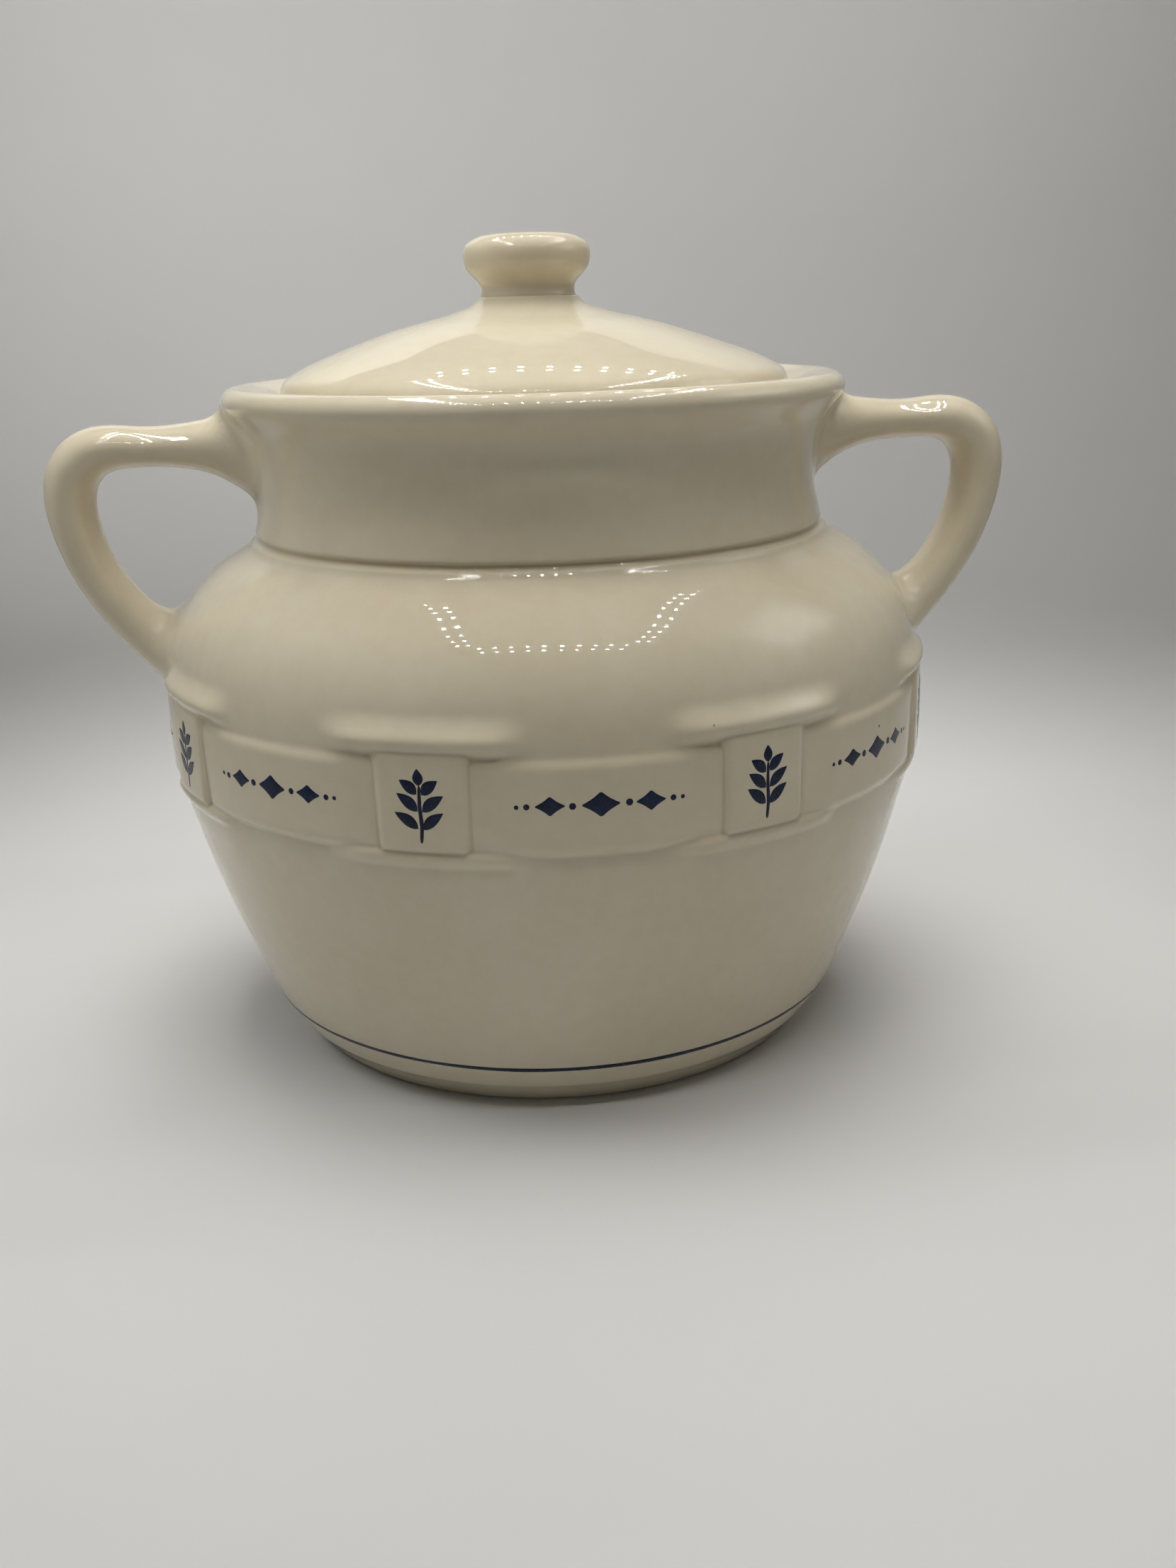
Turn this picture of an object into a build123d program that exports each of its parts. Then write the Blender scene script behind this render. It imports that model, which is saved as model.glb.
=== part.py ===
from build123d import *
import math
import os

# Round-bellied stoneware bean pot with two side handles and a loose domed lid.
# Millimetres, +Z up. Origin: centre of the foot, on the plane the pot rests on.
# +X runs through the handles, -Y is the side that faces the viewer.

# ---- driving dimensions -------------------------------------------------
FOOT_R = 73.5            # outer radius of the foot where it touches the table
FOOT_IN_R = 66.5         # inner radius of the foot's contact face
BASE_RECESS = 2.6        # how far the base is raised inside the foot
FOOT_EDGE_R = 79.0       # crisp edge above the undercut foot
FOOT_EDGE_Z = 6.6
BELLY_R = 103.6          # plain belly, between the raised splints
CREASE_R = 80.2          # top of the shoulder, beside the neck groove
CREASE_Z = 136.2
NECK_FOOT_R = 77.3       # foot of the neck, just above the groove
NECK_FOOT_Z = 141.2
NECK_R = 75.2            # narrowest part of the neck
RIM_R = 83.2             # outermost point of the rolled rim
RIM_R_Z = 174.5
CREST_R = 78.5           # top of the rolled rim
CREST_Z = 178.4
SEAT_WALL_R = 69.0       # upright wall that the lid drops into
SEAT_Z = 170.5           # ledge the lid rests on
SEAT_IN_R = 63.0         # inner edge of the ledge
FLOOR_Z = 8.0            # inside floor
LID_R = 68.3             # rim of the lid
LID_RING_R = 61.6        # outside of the ring under the lid
LID_RING_IN_R = 56.8     # inside of the ring under the lid
LID_RING_Z = 161.5       # lower edge of the ring under the lid
LID_HOLLOW_Z = 188.7     # top of the hollow under the lid
LID_NECK_Z = 199.2       # line where the knob starts
KNOB_FOOT_R = 12.7
KNOB_R = 16.85
TOP_Z = 215.3

REPEATS = 8              # woven pattern repeats round the belly
STEP = 360.0 / REPEATS
BAND_TURN = 1.1          # degrees that the band sits round from the handles

STAKE_HALF = 6.1         # degrees, upright square splints
STAKE_R = 105.6
STAKE_Z = (78.8, 100.8)
WEAVE_HALF = 15.9        # degrees, long pillows between the upright splints
WEAVE_R = 104.9
WEAVE_Z = (77.6, 102.6)
UPPER_HALF = 13.2        # degrees, pillows above the upright splints
UPPER_R = 105.9
LOWER_HALF = 13.4        # degrees, pillows below the upright splints
LOWER_R = 104.3

HANDLE_T = 11.2          # handle thickness, in the plane of the loop
HANDLE_W = 19.0          # handle width, across the loop

# ---- outer form of the pot, solid ---------------------------------------
BELLY = [(FOOT_EDGE_R, FOOT_EDGE_Z), (83.1, 13.5), (87.0, 23.4), (92.8, 39.0),
         (97.7, 54.6), (100.8, 67.0), (102.3, 77.0), (103.1, 87.0), (BELLY_R, 96.0),
         (103.5, 103.0), (102.2, 111.6), (99.1, 119.5), (95.3, 125.1), (91.6, 128.9),
         (86.9, 132.8), (CREASE_R, CREASE_Z)]
NECK = [(NECK_FOOT_R, NECK_FOOT_Z), (76.2, 145.4), (75.4, 149.4), (NECK_R, 153.2),
        (75.4, 158.0), (76.4, 163.2), (78.5, 168.0), (81.3, 171.4)]
LIP = [(81.3, 171.4), (RIM_R, RIM_R_Z), (82.4, 176.9), (80.8, 178.1), (CREST_R, CREST_Z),
       (74.6, 177.7), (70.6, 176.3)]

with BuildPart() as outer_form:
    with BuildSketch(Plane.YZ) as outer_section:
        with BuildLine() as outer_line:
            Line((0, BASE_RECESS), (FOOT_IN_R - 2.2, BASE_RECESS))
            Line((FOOT_IN_R - 2.2, BASE_RECESS), (FOOT_IN_R, 0))
            Line((FOOT_IN_R, 0), (FOOT_R, 0))
            ThreePointArc((FOOT_R, 0), (76.0, 3.6), (FOOT_EDGE_R, FOOT_EDGE_Z))
            Spline(*BELLY)
            ThreePointArc((CREASE_R, CREASE_Z), (78.2, 138.1), (NECK_FOOT_R, NECK_FOOT_Z))
            Spline(*NECK, tangents=((-0.3, 1.0), (0.66, 0.75)))
            Spline(*LIP, tangents=((0.66, 0.75), (-0.9, -0.44)))
            Line((70.6, 176.3), (0, 176.3))
            Line((0, 176.3), (0, BASE_RECESS))
        make_face()
    revolve(axis=Axis.Z)

# ---- raised splints of the woven band -----------------------------------
def section_plane(deg):
    a = math.radians(deg)
    return Plane(origin=(0, 0, 0), x_dir=(math.cos(a), math.sin(a), 0),
                 z_dir=(math.sin(a), -math.cos(a), 0))

with BuildPart() as stake:
    with BuildSketch(section_plane(-STAKE_HALF)) as stake_section:
        with BuildLine():
            Polyline((99.5, STAKE_Z[0]), (STAKE_R - 1.8, STAKE_Z[0]))
            Spline((STAKE_R - 1.8, STAKE_Z[0]), (STAKE_R - 0.5, STAKE_Z[0] + 1.3),
                   (STAKE_R, 90.0), (STAKE_R - 0.1, STAKE_Z[1] - 1.3),
                   (STAKE_R - 1.4, STAKE_Z[1]))
            Polyline((STAKE_R - 1.4, STAKE_Z[1]), (99.5, STAKE_Z[1]), (99.5, STAKE_Z[0]))
        make_face()
    revolve(axis=Axis.Z, revolution_arc=2 * STAKE_HALF)

with BuildPart() as weave:
    with BuildSketch(section_plane(-WEAVE_HALF)) as weave_section:
        with BuildLine():
            Polyline((99.5, WEAVE_Z[0]), (102.4, WEAVE_Z[0]))
            Spline((102.4, WEAVE_Z[0]), (103.9, 80.2), (WEAVE_R, 90.0), (104.6, 98.6),
                   (103.2, WEAVE_Z[1]))
            Polyline((103.2, WEAVE_Z[1]), (99.5, WEAVE_Z[1]), (99.5, WEAVE_Z[0]))
        make_face()
    revolve(axis=Axis.Z, revolution_arc=2 * WEAVE_HALF)

with BuildPart() as upper:
    with BuildSketch(section_plane(-UPPER_HALF)) as upper_section:
        with BuildLine():
            Polyline((99.5, 100.6), (103.9, 100.6))
            Spline((103.9, 100.6), (105.1, 102.4), (UPPER_R, 105.2), (105.1, 107.8),
                   (103.5, 110.2), (102.2, 113.0), (100.2, 116.8))
            Polyline((100.2, 116.8), (97.2, 116.8), (99.5, 100.6))
        make_face()
    revolve(axis=Axis.Z, revolution_arc=2 * UPPER_HALF)

with BuildPart() as lower:
    with BuildSketch(section_plane(-LOWER_HALF)) as lower_section:
        with BuildLine():
            Polyline((98.0, 79.4), (103.0, 79.4))
            Spline((103.0, 79.4), (104.1, 78.4), (LOWER_R, 76.6), (103.6, 74.2),
                   (102.0, 71.6), (100.0, 67.8))
            Polyline((100.0, 67.8), (98.0, 67.8), (98.0, 79.4))
        make_face()
    revolve(axis=Axis.Z, revolution_arc=2 * LOWER_HALF)

with BuildPart() as splints:
    for k in range(REPEATS):
        turn = k * STEP + BAND_TURN
        add(weave.part.rotate(Axis.Z, turn))
        add(stake.part.rotate(Axis.Z, turn + STEP / 2))
        add(upper.part.rotate(Axis.Z, turn + STEP / 2))
        add(lower.part.rotate(Axis.Z, turn + STEP / 2))

# what stands proud of the belly is the band; its back lies on the belly
with BuildPart() as woven_band:
    add(splints.part)
    add(outer_form.part, mode=Mode.SUBTRACT)

# ---- pot: foot, floor, wall, rim and lid ledge, one fired piece ------------
INNER = [(SEAT_IN_R + 1.4, 165.6), (67.9, 158.4), (68.3, 152.0), (69.0, 146.5),
         (71.4, 140.6), (78.0, 133.4), (85.2, 127.4), (91.0, 120.0), (94.9, 111.6),
         (96.5, 102.0), (96.3, 92.0), (95.0, 77.0), (91.8, 58.0), (87.4, 40.0),
         (82.4, 25.0), (78.2, 16.0), (72.6, 10.6), (66.0, 8.5), (60.0, FLOOR_Z)]

with BuildPart() as pot_wall:
    with BuildSketch(Plane.YZ) as wall_section:
        with BuildLine() as wall_line:
            Line((0, BASE_RECESS), (FOOT_IN_R - 2.2, BASE_RECESS))
            Line((FOOT_IN_R - 2.2, BASE_RECESS), (FOOT_IN_R, 0))
            Line((FOOT_IN_R, 0), (FOOT_R, 0))
            ThreePointArc((FOOT_R, 0), (76.0, 3.6), (FOOT_EDGE_R, FOOT_EDGE_Z))
            Spline(*BELLY)
            ThreePointArc((CREASE_R, CREASE_Z), (78.2, 138.1), (NECK_FOOT_R, NECK_FOOT_Z))
            Spline(*NECK, tangents=((-0.3, 1.0), (0.66, 0.75)))
            Spline(*LIP, tangents=((0.66, 0.75), (-0.9, -0.44)))
            ThreePointArc((70.6, 176.3), (69.4, 175.5), (SEAT_WALL_R, 174.1))
            Line((SEAT_WALL_R, 174.1), (SEAT_WALL_R, SEAT_Z))
            Line((SEAT_WALL_R, SEAT_Z), (SEAT_IN_R + 1.5, SEAT_Z))
            ThreePointArc((SEAT_IN_R + 1.5, SEAT_Z), (SEAT_IN_R + 0.44, SEAT_Z - 0.44),
                          (SEAT_IN_R, SEAT_Z - 1.5))
            Line((SEAT_IN_R, SEAT_Z - 1.5), (SEAT_IN_R, 167.4))
            Line((SEAT_IN_R, 167.4), (SEAT_IN_R + 1.4, 165.6))
            Spline(*INNER)
            Line((60.0, FLOOR_Z), (0, FLOOR_Z))
            Line((0, FLOOR_Z), (0, BASE_RECESS))
        make_face()
    revolve(axis=Axis.Z)

# The fired pot is named in five storeys, each meeting the next face to face.
def storey(low, high):
    with BuildPart() as ring:
        add(pot_wall.part)
        if low is not None:
            split(bisect_by=Plane.XY.offset(low), keep=Keep.TOP)
        if high is not None:
            split(bisect_by=Plane.XY.offset(high), keep=Keep.BOTTOM)
    return ring.part

FLOOR_TOP, WALL_TOP, BELLY_TOP, SHOULDER_TOP = 10.6, 52.0, 100.0, 139.0
pot_base = storey(None, FLOOR_TOP)
lower_wall = storey(FLOOR_TOP, WALL_TOP)
belly_wall = storey(WALL_TOP, BELLY_TOP)
shoulder = storey(BELLY_TOP, SHOULDER_TOP)
neck_rim = storey(SHOULDER_TOP, None)

# ---- handles ------------------------------------------------------------
# Stations along the loop: (x, z, direction of travel in degrees above +X,
# thickness, width, corner radius). Both roots flare into the pot.
STATIONS = [
    (71.6, 160.4, 0.0, 25.0, 31.0, 8.0),
    (77.0, 161.0, 2.0, 21.6, 27.5, 7.2),
    (83.0, 162.4, 5.0, 17.2, 23.6, 6.4),
    (90.0, 163.4, 4.0, 13.6, 20.8, 5.4),
    (98.0, 164.2, 1.0, 11.5, 19.4, 4.9),
    (106.0, 164.3, 0.0, HANDLE_T, HANDLE_W, 4.8),
    (113.4, 164.0, -8.0, 12.3, HANDLE_W, 4.8),
    (119.5, 161.9, -34.0, 13.4, HANDLE_W, 4.9),
    (123.8, 157.6, -57.0, 13.6, HANDLE_W, 4.9),
    (125.5, 151.7, -83.0, 12.8, HANDLE_W, 4.8),
    (125.1, 145.0, -98.0, 12.0, HANDLE_W, 4.8),
    (123.2, 137.6, -106.0, HANDLE_T, HANDLE_W, 4.8),
    (120.4, 130.4, -115.0, 11.0, HANDLE_W, 4.8),
    (116.5, 123.7, -123.5, 11.0, HANDLE_W, 4.8),
    (111.8, 117.5, -129.0, 12.0, 19.8, 5.0),
    (106.2, 111.9, -130.0, 14.4, 21.6, 5.8),
    (99.6, 106.0, -130.0, 17.8, 24.5, 6.8),
    (95.4, 101.3, -130.0, 19.0, 26.0, 7.2),
]

with BuildPart() as handle_right:
    for sx, sz, ang, t, w, r in STATIONS:
        a = math.radians(ang)
        with BuildSketch(Plane(origin=(sx, 0, sz), x_dir=(0, 1, 0),
                               z_dir=(math.cos(a), 0, math.sin(a)))):
            RectangleRounded(w, t, r)
    loft()
    add(outer_form.part, mode=Mode.SUBTRACT)
    add(splints.part, mode=Mode.SUBTRACT)

with BuildPart() as handle_left:
    add(handle_right.part.rotate(Axis.Z, 180))

# ---- lid ----------------------------------------------------------------
with BuildPart() as lid:
    with BuildSketch(Plane.XZ) as lid_section:
        with BuildLine():
            Line((0, LID_NECK_Z), (KNOB_FOOT_R + 0.5, LID_NECK_Z))
            Spline((KNOB_FOOT_R + 0.5, LID_NECK_Z), (14.5, 197.7), (17.4, 196.2),
                   (22.6, 194.6), (29.0, 193.1), (36.7, 191.1), (44.6, 188.6),
                   (52.4, 185.9), (59.8, 183.1), (64.2, 181.0), (67.2, 178.7), (LID_R, 175.6))
            Line((LID_R, 175.6), (LID_R, SEAT_Z))
            Line((LID_R, SEAT_Z), (LID_RING_R + 0.8, SEAT_Z))
            Line((LID_RING_R + 0.8, SEAT_Z), (LID_RING_R, SEAT_Z - 0.8))
            Line((LID_RING_R, SEAT_Z - 0.8), (LID_RING_R, LID_RING_Z + 1.8))
            ThreePointArc((LID_RING_R, LID_RING_Z + 1.8), (LID_RING_R - 2.4, LID_RING_Z),
                          (LID_RING_IN_R, LID_RING_Z + 1.8))
            Spline((LID_RING_IN_R, LID_RING_Z + 1.8), (56.2, 171.0), (53.0, 177.4),
                   (45.0, 181.9), (34.0, 185.2), (20.0, 187.7), (0, LID_HOLLOW_Z),
                   tangents=((0, 1), (-1, 0)))
            Line((0, LID_HOLLOW_Z), (0, LID_NECK_Z))
        make_face()
    revolve(axis=Axis.Z)

with BuildPart() as lid_knob:
    with BuildSketch(Plane.XZ) as knob_section:
        with BuildLine():
            Line((0, LID_NECK_Z), (KNOB_FOOT_R, LID_NECK_Z))
            Spline((KNOB_FOOT_R, LID_NECK_Z), (12.45, 201.4), (14.1, 203.9), (16.1, 206.2),
                   (KNOB_R, 208.7), (16.5, 211.6), (14.5, 213.5), (8.4, 214.95), (0, TOP_Z),
                   tangents=((-0.25, 1.0), (-1.0, 0.0)))
            Line((0, TOP_Z), (0, LID_NECK_Z))
        make_face()
    revolve(axis=Axis.Z)

# ---- export -------------------------------------------------------------
PIECES = {
    "pot_base": pot_base,
    "lower_wall": lower_wall,
    "belly_wall": belly_wall,
    "shoulder": shoulder,
    "neck_rim": neck_rim,
    "woven_band": woven_band.part,
    "handle_left": handle_left.part,
    "handle_right": handle_right.part,
    "lid": lid.part,
    "lid_knob": lid_knob.part,
}

os.makedirs("parts", exist_ok=True)
for name, shape in PIECES.items():
    shape.label = name
    export_step(shape, "parts/" + name + ".step")
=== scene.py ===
import math

import bpy
import numpy as np
from mathutils import Matrix, Vector


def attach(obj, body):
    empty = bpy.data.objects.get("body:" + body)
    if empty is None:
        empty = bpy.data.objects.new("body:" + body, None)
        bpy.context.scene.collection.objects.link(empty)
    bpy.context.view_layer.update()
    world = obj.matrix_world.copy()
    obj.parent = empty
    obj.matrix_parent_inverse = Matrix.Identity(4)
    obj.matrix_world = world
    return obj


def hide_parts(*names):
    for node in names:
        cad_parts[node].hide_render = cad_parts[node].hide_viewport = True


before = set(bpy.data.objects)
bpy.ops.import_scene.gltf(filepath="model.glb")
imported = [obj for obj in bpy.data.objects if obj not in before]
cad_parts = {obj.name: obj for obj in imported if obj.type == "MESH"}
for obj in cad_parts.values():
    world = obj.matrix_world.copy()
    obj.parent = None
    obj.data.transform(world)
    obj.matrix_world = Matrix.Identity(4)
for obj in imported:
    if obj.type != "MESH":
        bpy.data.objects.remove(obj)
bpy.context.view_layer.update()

MM = 0.001
TAU = 2 * math.pi
FINE = 0.05          # mm between the points of a dense profile


# ---------------------------------------------------------------- curves, in mm
def through(points, start=None, end=None):
    """Dense points on a cubic curve through the given ones, with end directions if given."""
    p = np.array(points, float)
    t = np.concatenate([[0.0], np.cumsum(np.linalg.norm(np.diff(p, axis=0), axis=1))])
    n, h = len(t), np.diff(t)
    a, b = np.zeros((n, n)), np.zeros((n, p.shape[1]))
    for i in range(1, n - 1):
        a[i, i - 1], a[i, i], a[i, i + 1] = h[i - 1], 2 * (h[i - 1] + h[i]), h[i]
        b[i] = 6 * ((p[i + 1] - p[i]) / h[i] - (p[i] - p[i - 1]) / h[i - 1])
    if start is None:
        a[0, 0] = 1
    else:
        d = np.array(start, float) / np.linalg.norm(start)
        a[0, 0], a[0, 1] = 2 * h[0], h[0]
        b[0] = 6 * ((p[1] - p[0]) / h[0] - d)
    if end is None:
        a[-1, -1] = 1
    else:
        d = np.array(end, float) / np.linalg.norm(end)
        a[-1, -1], a[-1, -2] = 2 * h[-1], h[-1]
        b[-1] = 6 * (d - (p[-1] - p[-2]) / h[-1])
    m = np.linalg.solve(a, b)
    u = np.linspace(0, t[-1], max(2, int(t[-1] / FINE)))
    i = np.clip(np.searchsorted(t, u, side="right") - 1, 0, n - 2)
    x, y = (t[i + 1] - u)[:, None], (u - t[i])[:, None]
    k = h[i][:, None]
    return (m[i] * x**3 + m[i + 1] * y**3) / (6 * k) + (p[i] / k - m[i] * k / 6) * x + (
        p[i + 1] / k - m[i + 1] * k / 6
    ) * y


def arc(a, b, c):
    """Dense points on the circle through three points, from a by b to c."""
    (ax, ay), (bx, by), (cx, cy) = a, b, c
    d = 2 * (ax * (by - cy) + bx * (cy - ay) + cx * (ay - by))
    ux = ((ax**2 + ay**2) * (by - cy) + (bx**2 + by**2) * (cy - ay) + (cx**2 + cy**2) * (ay - by)) / d
    uy = ((ax**2 + ay**2) * (cx - bx) + (bx**2 + by**2) * (ax - cx) + (cx**2 + cy**2) * (bx - ax)) / d
    r = math.hypot(ax - ux, ay - uy)
    t = [math.atan2(y - uy, x - ux) for x, y in (a, b, c)]
    turn = (t[2] - t[0]) % TAU
    if (t[1] - t[0]) % TAU > turn:
        turn -= TAU
    u = np.linspace(0, turn, max(3, int(abs(turn) * r / FINE)))
    return np.stack([ux + r * np.cos(t[0] + u), uy + r * np.sin(t[0] + u)], 1)


def line(a, b):
    n = max(2, int(math.dist(a, b) / FINE))
    return np.linspace(a, b, n)


def join(*parts):
    out = [parts[0]]
    for p in parts[1:]:
        out.append(p[1:])
    return even(np.concatenate(out), FINE)


def length_along(p):
    return np.concatenate([[0.0], np.cumsum(np.linalg.norm(np.diff(p, axis=0), axis=1))])


def even(p, step):
    s = length_along(p)
    u = np.linspace(0, s[-1], max(2, int(round(s[-1] / step)) + 1))
    return np.stack([np.interp(u, s, p[:, i]) for i in range(p.shape[1])], 1)


def blurred(v, sigma):
    """v smoothed along its first axis by a Gaussian of sigma samples, its ends kept."""
    n = int(4 * sigma) + 1
    k = np.exp(-0.5 * (np.arange(-n, n + 1) / sigma) ** 2)
    k /= k.sum()
    v2 = v.reshape(len(v), -1)
    padded = np.concatenate([2 * v2[0] - v2[n:0:-1], v2, 2 * v2[-1] - v2[-2 : -n - 2 : -1]])
    return np.stack([np.convolve(padded[:, i], k, "valid") for i in range(v2.shape[1])], 1).reshape(v.shape)


def soft_edges(p, radius):
    return blurred(p, radius / FINE)


def smooth(a, b, x):
    t = np.clip((x - a) / (b - a), 0, 1)
    return t * t * (3 - 2 * t)


def rise(t, p=2.3):
    """0 to 1: starts with a slope, as a crease does, and ends level, as a pillow does."""
    return 1 - (1 - np.clip(t, 0, 1)) ** p


def spread(s, spacing, multiple=1):
    """Positions along s whose distances follow spacing, given at each s."""
    d = 1 / spacing
    c = np.concatenate([[0.0], np.cumsum((d[1:] + d[:-1]) / 2 * np.diff(s))])
    n = int(math.ceil(c[-1] / multiple)) * multiple
    return np.interp(np.linspace(0, c[-1], n + 1), c, s)


# ---------------------------------------------------------------- the pot's wall
BELLY = [(79.0, 6.6), (83.1, 13.5), (87.0, 23.4), (92.8, 39.0), (97.7, 54.6), (100.8, 67.0),
         (102.3, 77.0), (103.1, 87.0), (103.6, 96.0), (103.5, 103.0), (102.2, 111.6), (99.1, 119.5),
         (95.3, 125.1), (91.6, 128.9), (86.9, 132.8), (82.0, 135.6)]
NECK = [(77.3, 141.2), (76.2, 145.4), (75.4, 149.4), (75.2, 153.2), (75.4, 158.0), (76.4, 163.2),
        (78.5, 168.0), (81.3, 171.4)]
LIP = [(81.3, 171.4), (83.2, 174.5), (82.4, 176.9), (80.8, 178.1), (78.5, 178.4), (74.6, 177.7),
       (70.6, 176.3)]
INNER = [(64.4, 165.6), (67.9, 158.4), (68.3, 152.0), (69.0, 146.5), (71.4, 140.6), (78.0, 133.4),
         (85.2, 127.4), (91.0, 120.0), (94.9, 111.6), (96.5, 102.0), (96.3, 92.0), (95.0, 77.0),
         (91.8, 58.0), (87.4, 40.0), (82.4, 25.0), (78.2, 16.0), (72.6, 10.6), (66.0, 8.5), (60.0, 8.0)]
CONTACT_Z = 0.06     # the glaze stops just above the bare ring that the pot stands on

wall = join(
    line((0, 2.6), (64.3, 2.6)), line((64.3, 2.6), (66.5, CONTACT_Z)), line((66.5, CONTACT_Z), (73.5, CONTACT_Z)),
    arc((73.5, CONTACT_Z), (76.0, 3.6), (79.0, 6.6)), through(BELLY),
    through([(82.0, 135.6), (80.7, 136.35), (79.7, 137.0), (79.0, 137.8), (78.6, 138.35), (77.8, 138.55), (76.95, 138.85), (76.6, 139.4),
             (76.85, 140.0), (77.4, 140.5), (77.3, 141.2)]), through(NECK, (-0.26, 1.0), (0.66, 0.75)),
    through(LIP, (0.66, 0.75), (-0.9, -0.44)), arc((70.6, 176.3), (69.4, 175.5), (69.0, 174.1)),
    line((69.0, 174.1), (69.0, 170.5)), line((69.0, 170.5), (64.5, 170.5)),
    line((64.5, 170.5), (63.4, 170.1)), line((63.4, 170.1), (63.0, 169.0)), line((63.0, 169.0), (63.0, 167.4)),
    line((63.0, 167.4), (64.4, 165.6)), through(INNER), line((60.0, 8.0), (0, 8.0)),
)
wall = even(soft_edges(wall, 0.32), FINE)
wall_s = length_along(wall)
at_edge = int(np.argmin(np.hypot(wall[:, 0] - 79.0, wall[:, 1] - 6.6)))
at_crease = int(np.argmin(np.hypot(wall[:, 0] - 82.0, wall[:, 1] - 135.6)))
at_crest = int(np.argmax(wall[:, 1]))
at_ledge = int(np.argmin(np.hypot(wall[:, 0] - 63.0, wall[:, 1] - 167.4)))
at_foot = int(np.argmin(np.hypot(wall[:, 0] - 64.3, wall[:, 1] - 2.6)))
OUT_Z = wall[at_edge:at_crease, 1]
OUT_R = wall[at_edge:at_crease, 0]
RAD = 104.0          # arc lengths round the band are measured at this radius
SECTOR = TAU / 8
BAND_TURN = math.radians(1.1)


def from_stake(phi):
    """Arc from the nearest upright splint's centre, which are at 23.6 degrees and every 45."""
    return ((phi - BAND_TURN) % SECTOR - SECTOR / 2) * RAD


def relief(phi, z):
    """How far the woven band stands out of the plain belly, in mm."""
    a = from_stake(phi)
    b = RAD * SECTOR / 2 - np.abs(a)
    aa = np.abs(a)
    r0 = np.interp(z, OUT_Z, OUT_R)
    stake = 105.15 - 0.0012 * (z - 90) ** 2 - r0 + 0.0010 * aa**2
    stake = stake * (1 - smooth(9.3, 12.7, aa)) * smooth(77.8, 80.0, z) * (1 - smooth(101.5, 104.5, z))
    wide = (104.78 - 0.0016 * (z - 90) ** 2 - r0) * (1 - 0.34 * (b / 29.4) ** 3)
    wide = wide * rise((30.9 - b) / 2.7, 2.0) * rise((z - 77.6) / 3.6) * rise((100.7 - z) / 2.6, 1.9)
    ramp = (np.clip(111.0 - z, 0, None) / 5.3) ** 1.8
    roll = ramp / (1 + ramp**6) ** (1 / 6)
    upper = 2.4 * rise((z - 101.9) / 3.6, 2.3) * roll * (1 - smooth(15.5, 27.6, aa))
    fold = 0.60 * smooth(74.2, 77.2, z) + 0.40 * smooth(63.5, 76.0, z)
    lower = 2.2 * rise((79.9 - z) / 3.0, 2.4) * fold * (1 - smooth(16.5, 27.6, aa))
    parts = np.stack([stake, wide, upper, lower])
    return (np.clip(parts, 0, None) ** 9).sum(0) ** (1 / 9)


def wave(phi, z):
    """The slight unevenness of a cast and glazed wall."""
    return (
        0.045 * np.sin(3 * phi + 0.7 + z * 0.021)
        + 0.035 * np.sin(5 * phi - 1.9 - z * 0.043)
        + 0.030 * np.sin(2 * phi + z * 0.083 + 0.4)
        + 0.014 * np.sin(11 * phi + z * 0.17)
        + 0.012 * np.sin(17 * phi - z * 0.11 + 2.0)
    )


# ---------------------------------------------------------------- the handles
# x, z, direction of travel, thickness, width, corner radius
STATIONS = [
    (71.6, 160.6, 22.0, 27.6, 7.6), (77.0, 161.3, 19.6, 25.2, 7.0), (83.0, 162.6, 16.2, 22.4, 6.2),
    (90.0, 163.5, 12.9, 20.2, 5.4), (98.0, 163.7, 10.7, 19.3, 4.9), (106.0, 163.8, 10.3, 19.0, 4.8),
    (113.4, 163.75, 11.9, 20.0, 4.8), (119.45, 161.9, 13.7, 21.2, 4.9), (123.6, 157.6, 14.0, 21.6, 4.9),
    (125.25, 151.7, 13.1, 21.6, 4.8), (124.95, 145.0, 12.6, 21.2, 4.8), (123.2, 137.6, 12.1, 20.6, 4.8),
    (120.4, 130.4, 11.9, 20.2, 4.8), (116.5, 123.7, 12.0, 20.0, 4.8), (111.8, 117.5, 12.8, 19.6, 5.0),
    (106.2, 111.8, 14.0, 21.2, 5.6), (100.0, 106.4, 15.8, 23.2, 6.2),
]
ROUND = 2.06                 # how full the strap's oval section is, 2 being an ellipse
K_TOP, K_LOW = 12.5, 14.0      # how widely the two roots are filled out, in mm

station = np.array(STATIONS, float)
centre = even(through(station[:, :2]), FINE)
centre_s = length_along(centre)
station_s = np.array([centre_s[np.argmin(np.hypot(*(centre - p[:2]).T))] for p in station])
centre_size = np.stack([blurred(np.interp(centre_s, station_s, station[:, i]), 60) for i in (2, 3, 4)], 1)
centre_dir = np.gradient(centre, axis=0)
centre_dir /= np.linalg.norm(centre_dir, axis=1)[:, None]
centre_out = np.stack([-centre_dir[:, 1], centre_dir[:, 0]], 1)   # towards the outside of the loop


def table(x0, x1, z0, z1, step, fill):
    xs, zs = np.arange(x0, x1 + step, step), np.arange(z0, z1 + step, step)
    gx, gz = np.meshgrid(xs, zs, indexing="ij")
    values = fill(np.stack([gx.ravel(), gz.ravel()], 1))
    return x0, z0, step, values.reshape(len(xs), len(zs), -1)


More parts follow.
